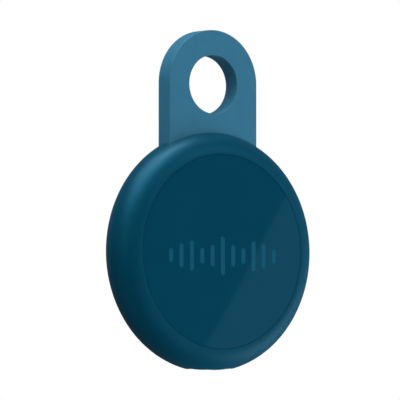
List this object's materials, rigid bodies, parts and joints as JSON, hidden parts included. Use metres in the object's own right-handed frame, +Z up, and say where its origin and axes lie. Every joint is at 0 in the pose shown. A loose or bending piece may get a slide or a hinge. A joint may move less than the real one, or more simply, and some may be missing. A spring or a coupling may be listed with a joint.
{
  "type": "bluetooth tracker tag",
  "caption": "Round rechargeable bluetooth tracker tag with a silicone hang loop, a rounded satin rim and a glossy front plate that is its push button.",
  "frame": {"origin": "centre of the hang loop's round hole, half-way through the strap", "axes": "+Z up along the strap away from the puck, -Y out of the front plate, +X to the right as seen from the front"},
  "size_m": [0.039, 0.0076, 0.0553],
  "materials": {
    "loop_silicone": "matte silicone",
    "shell_satin": "satin",
    "plate_gloss": "high gloss",
    "mark_print": "gloss print",
    "dark_silicone": "matte",
    "carrier_plastic": "moulded",
    "board_laminate": "solder mask",
    "steel_plate": "stamped",
    "screw_steel": "machined",
    "tin_plate": "plated",
    "port_steel": "nickel plated",
    "contact_gold": "gold plated",
    "piezo_brass": "rolled",
    "chip_epoxy": "moulded epoxy",
    "ferrite": "sintered",
    "passive_ceramic": "ceramic",
    "white_ceramic": "ceramic",
    "led_resin": "clear resin",
    "light_pipe": "frosted clear",
    "switch_plastic": "moulded",
    "pouch_foil": "laminated foil",
    "tape": "foam tape",
    "flex_film": "polyimide film"
  },
  "bodies": {
    "loop": {"hang_loop": "loop_silicone"},
    "housing": {"loop_anchor": "loop_silicone", "anchor_clamp": "steel_plate", "anchor_screws": "screw_steel", "frame_ring": "shell_satin", "rear_cover": "shell_satin", "rear_seal": "dark_silicone", "inner_carrier": "carrier_plastic", "main_board": "board_laminate", "board_screws": "screw_steel", "bluetooth_chip": "chip_epoxy", "rf_shield": "tin_plate", "crystals": "tin_plate", "chip_antenna": "white_ceramic", "charger_chip": "chip_epoxy", "audio_driver": "chip_epoxy", "boost_inductor": "ferrite", "passives": "passive_ceramic", "status_led": "led_resin", "light_pipe": "light_pipe", "switch_base": "switch_plastic", "switch_dome": "tin_plate", "battery_cell": "pouch_foil", "battery_tape": "tape", "battery_board": "board_laminate", "battery_tabs": "tin_plate", "usb_shell": "port_steel", "usb_insulator": "switch_plastic", "usb_contacts": "contact_gold", "usb_seal": "dark_silicone", "piezo_plate": "piezo_brass", "piezo_ceramic": "white_ceramic", "piezo_flex": "flex_film"},
    "button": {"front_plate": "plate_gloss", "front_mark": "mark_print", "front_membrane": "dark_silicone"},
    "plunger": {"switch_plunger": "switch_plastic"}
  },
  "joints": [
    {"name": "loop_flex", "type": "hinge", "parent": "loop", "child": "housing", "pos_m": [0, 0, -0.0069], "axis": [1, 0, 0], "range_deg": [-60, 60], "stiffness_Nm_per_rad": 0.024},
    {"name": "button_press", "type": "slide", "parent": "housing", "child": "button", "axis": [0, 1, 0], "range_m": [0, 0.00025], "stiffness_N_per_m": 6800, "deforming": ["front_membrane"]},
    {"name": "switch_press", "type": "slide", "parent": "housing", "child": "plunger", "axis": [0, 1, 0], "range_m": [0, 0.00025], "deforming": ["switch_dome"]}
  ],
  "couplings": [
    {"joint": "switch_press", "follows": "button_press", "ratio": 1}
  ]
}
